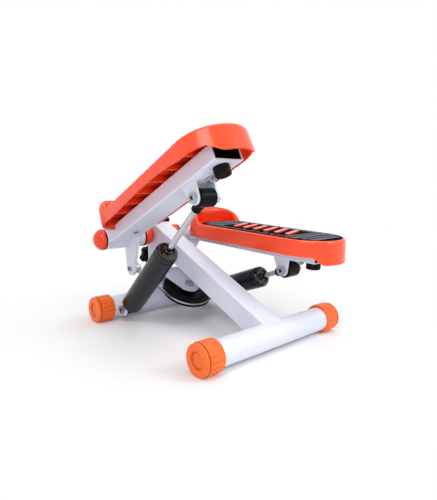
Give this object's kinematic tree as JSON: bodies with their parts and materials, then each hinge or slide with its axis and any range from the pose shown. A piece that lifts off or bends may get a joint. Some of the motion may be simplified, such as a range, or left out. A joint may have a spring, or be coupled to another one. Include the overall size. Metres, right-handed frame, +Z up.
{
  "type": "mini stepper",
  "caption": "Compact exercise stepper: two linked foot pedals on an H-shaped tube base, each damped by a hydraulic cylinder and joined by a cable round a pulley.",
  "frame": {"origin": "on the floor, under the middle of the machine's bounding box", "axes": "+X to the user's right, +Y forward towards the toes, +Z up"},
  "size_m": [0.318, 0.431, 0.3501],
  "materials": {
    "frame_paint": "light grey powder coat",
    "orange_plastic": "orange moulded plastic",
    "pedal_plastic": "red-orange moulded plastic",
    "black_plastic": "black plastic",
    "mat_rubber": "ribbed black rubber",
    "bumper_rubber": "black rubber",
    "cylinder_paint": "dark grey satin paint",
    "rod_chrome": "polished chrome",
    "zinc_steel": "zinc-plated steel",
    "cable_steel": "steel wire rope"
  },
  "bodies": {
    "frame": {"rear_foot_tube": "frame_paint", "front_foot_tube": "frame_paint", "rear_left_foot_cap": "orange_plastic", "rear_right_foot_cap": "orange_plastic", "front_left_foot_cap": "orange_plastic", "front_right_foot_cap": "orange_plastic", "main_tube": "frame_paint", "front_post": "frame_paint", "post_cap": "black_plastic", "pivot_axle": "zinc_steel", "axle_nuts": "zinc_steel", "left_outer_dome": "orange_plastic", "left_inner_dome": "orange_plastic", "right_outer_dome": "orange_plastic", "right_inner_dome": "orange_plastic", "left_cylinder_clevis": "frame_paint", "right_cylinder_clevis": "frame_paint", "lower_cylinder_bolts": "zinc_steel", "knob_washer": "zinc_steel"},
    "fork": {"pulley_fork": "frame_paint", "adjust_rod": "zinc_steel", "pulley_bolt": "zinc_steel", "pull_cable": "cable_steel"},
    "knob": {"adjust_knob": "black_plastic"},
    "pulley": {"pulley": "black_plastic", "pulley_bush": "zinc_steel"},
    "left_cable_end": {"left_cable_end": "zinc_steel"},
    "right_cable_end": {"right_cable_end": "zinc_steel"},
    "left_pedal": {"left_pivot_sleeve": "frame_paint", "left_pivot_bushes": "black_plastic", "left_pedal_arm": "frame_paint", "left_lever": "frame_paint", "left_pedal_shell": "pedal_plastic", "left_pedal_mat": "mat_rubber", "left_upper_bracket": "frame_paint", "left_bumper": "bumper_rubber", "left_pedal_bolts": "zinc_steel", "left_pedal_screws": "zinc_steel"},
    "left_cylinder": {"left_cylinder_tube": "cylinder_paint", "left_cylinder_gland": "cylinder_paint"},
    "left_rod": {"left_piston_rod": "rod_chrome", "left_piston": "zinc_steel", "left_rod_end": "black_plastic"},
    "right_pedal": {"right_pivot_sleeve": "frame_paint", "right_pivot_bushes": "black_plastic", "right_pedal_arm": "frame_paint", "right_lever": "frame_paint", "right_pedal_shell": "pedal_plastic", "right_pedal_mat": "mat_rubber", "right_upper_bracket": "frame_paint", "right_bumper": "bumper_rubber", "right_pedal_bolts": "zinc_steel", "right_pedal_screws": "zinc_steel"},
    "right_cylinder": {"right_cylinder_tube": "cylinder_paint", "right_cylinder_gland": "cylinder_paint"},
    "right_rod": {"right_piston_rod": "rod_chrome", "right_piston": "zinc_steel", "right_rod_end": "black_plastic"}
  },
  "joints": [
    {"name": "left_pedal_hinge", "type": "hinge", "parent": "frame", "child": "left_pedal", "pos_m": [-0.097, 0.16566, 0.1614], "axis": [1, 0, 0], "range_deg": [0, 27.5], "deforming": ["pull_cable"]},
    {"name": "right_pedal_hinge", "type": "hinge", "parent": "frame", "child": "right_pedal", "pos_m": [0.097, 0.16566, 0.1614], "axis": [1, 0, 0], "range_deg": [-27.5, 0]},
    {"name": "left_cylinder_hinge", "type": "hinge", "parent": "frame", "child": "left_cylinder", "pos_m": [-0.097, 0.12966, 0.0254], "axis": [1, 0, 0], "range_deg": [0, 23.22]},
    {"name": "right_cylinder_hinge", "type": "hinge", "parent": "frame", "child": "right_cylinder", "pos_m": [0.097, 0.12966, 0.0254], "axis": [1, 0, 0], "range_deg": [-23.98, 0]},
    {"name": "left_rod_slide", "type": "slide", "parent": "left_cylinder", "child": "left_rod", "axis": [0, -0.7204, 0.6936], "range_m": [-0.0633, 0]},
    {"name": "right_rod_slide", "type": "slide", "parent": "right_cylinder", "child": "right_rod", "axis": [0, -0.9375, 0.3479], "range_m": [0, 0.0643]},
    {"name": "pulley_spin", "type": "hinge", "parent": "fork", "child": "pulley", "pos_m": [0, 0.06866, 0.0574], "axis": [0, -0.41, 0.9121], "range_deg": [-27.74, 0]},
    {"name": "left_cable_pull", "type": "slide", "parent": "frame", "child": "left_cable_end", "axis": [0, 0.9986, -0.0523], "range_m": [0, 0.0302]},
    {"name": "right_cable_pull", "type": "slide", "parent": "frame", "child": "right_cable_end", "axis": [0, -0.9996, -0.028], "range_m": [0, 0.0302]},
    {"name": "fork_slide", "type": "slide", "parent": "frame", "child": "fork", "axis": [0, 0.9121, 0.41], "range_m": [-0.003, 0.003], "deforming": ["pull_cable"]},
    {"name": "knob_turn", "type": "hinge", "parent": "frame", "child": "knob", "pos_m": [0, 0.06866, 0.0574], "axis": [0, 0.9121, 0.41], "range_deg": [-721, 721]}
  ],
  "couplings": [
    {"joint": "right_pedal_hinge", "follows": "left_pedal_hinge", "ratio": -1},
    {"joint": "left_cylinder_hinge", "follows": "left_pedal_hinge", "ratio": 0.8425},
    {"joint": "right_cylinder_hinge", "follows": "left_pedal_hinge", "ratio": -0.87},
    {"joint": "left_rod_slide", "follows": "left_pedal_hinge", "m_per_rad": -0.1315},
    {"joint": "right_rod_slide", "follows": "left_pedal_hinge", "m_per_rad": 0.1335},
    {"joint": "pulley_spin", "follows": "left_pedal_hinge", "ratio": -1.005},
    {"joint": "left_cable_pull", "follows": "left_pedal_hinge", "m_per_rad": 0.062702},
    {"joint": "right_cable_pull", "follows": "left_pedal_hinge", "m_per_rad": 0.062702},
    {"joint": "knob_turn", "follows": "fork_slide", "rad_per_m": 4188.8}
  ]
}
